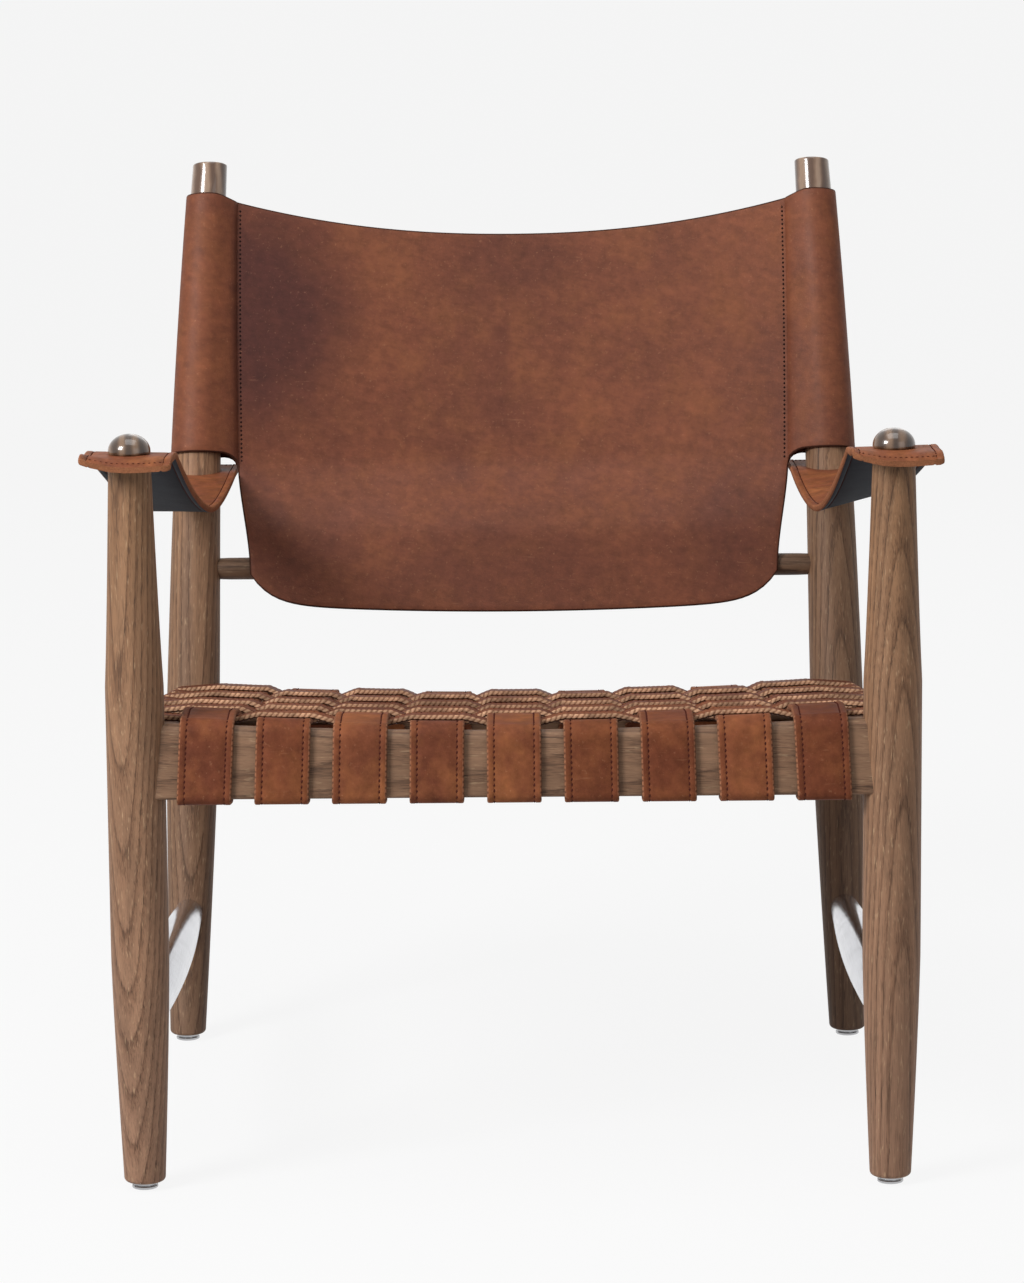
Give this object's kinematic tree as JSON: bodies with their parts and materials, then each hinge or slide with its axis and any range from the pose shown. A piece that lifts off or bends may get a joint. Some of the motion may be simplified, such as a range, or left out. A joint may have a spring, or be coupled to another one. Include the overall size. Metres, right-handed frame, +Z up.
{
  "type": "leather sling lounge chair",
  "caption": "Low lounge chair: turned wood frame, leaning posts through the sleeves of a leather sling back, strap arms held by domed knobs, and a woven leather strap seat.",
  "frame": {"origin": "on the floor under the middle of the chair's outer box", "axes": "+Z up, the front of the seat faces -Y, +X to the right as seen from the front"},
  "size_m": [0.7016, 0.7794, 0.8178],
  "materials": {
    "stained_wood": "open-grained ash, brown stain, matte",
    "lacquered_wood": "turned wood, glossy lacquer",
    "leather": "thick saddle leather, red-brown, slightly waxed",
    "polished_aluminium": "polished",
    "bright_steel": "bright plated"
  },
  "bodies": {
    "frame": {"front_leg_left": "stained_wood", "front_leg_right": "stained_wood", "rear_post_left": "stained_wood", "rear_post_right": "stained_wood", "front_rail": "stained_wood", "rear_rail": "stained_wood", "side_rail_left": "stained_wood", "side_rail_right": "stained_wood", "back_crossbar": "stained_wood", "arm_strap_left": "leather", "arm_strap_right": "leather", "back_sling": "leather", "seat_strap_1": "leather", "seat_strap_2": "leather", "seat_strap_3": "leather", "seat_strap_4": "leather", "seat_strap_5": "leather", "seat_strap_6": "leather", "seat_strap_7": "leather", "seat_strap_8": "leather", "seat_strap_9": "leather", "cross_strap_1": "leather", "cross_strap_2": "leather", "cross_strap_3": "leather", "cross_strap_4": "leather", "cross_strap_5": "leather", "cross_strap_6": "leather", "cross_strap_7": "leather", "cross_strap_8": "leather", "stretcher_left": "polished_aluminium", "stretcher_right": "polished_aluminium", "knob_stud_left": "bright_steel", "knob_stud_right": "bright_steel"},
    "glide_front_left_body": {"glide_front_left": "bright_steel"},
    "glide_front_right_body": {"glide_front_right": "bright_steel"},
    "glide_rear_left_body": {"glide_rear_left": "bright_steel"},
    "glide_rear_right_body": {"glide_rear_right": "bright_steel"},
    "knob_left_body": {"arm_knob_left": "lacquered_wood"},
    "knob_right_body": {"arm_knob_right": "lacquered_wood"}
  },
  "joints": [
    {"name": "glide_front_left_turn", "type": "hinge", "parent": "frame", "child": "glide_front_left_body", "pos_m": [-0.31275, -0.34874, 0], "axis": [0, 0, 1], "continuous": true},
    {"name": "glide_front_right_turn", "type": "hinge", "parent": "frame", "child": "glide_front_right_body", "pos_m": [0.31275, -0.34874, 0], "axis": [0, 0, 1], "continuous": true},
    {"name": "glide_rear_left_turn", "type": "hinge", "parent": "frame", "child": "glide_rear_left_body", "pos_m": [-0.313, 0.15787, 0], "axis": [0, 0, 1], "continuous": true},
    {"name": "glide_rear_right_turn", "type": "hinge", "parent": "frame", "child": "glide_rear_right_body", "pos_m": [0.313, 0.15787, 0], "axis": [0, 0, 1], "continuous": true},
    {"name": "knob_left_turn", "type": "hinge", "parent": "frame", "child": "knob_left_body", "pos_m": [-0.31275, -0.34874, 0.6196], "axis": [0, 0, 1], "continuous": true},
    {"name": "knob_right_turn", "type": "hinge", "parent": "frame", "child": "knob_right_body", "pos_m": [0.31275, -0.34874, 0.6196], "axis": [0, 0, 1], "continuous": true}
  ]
}
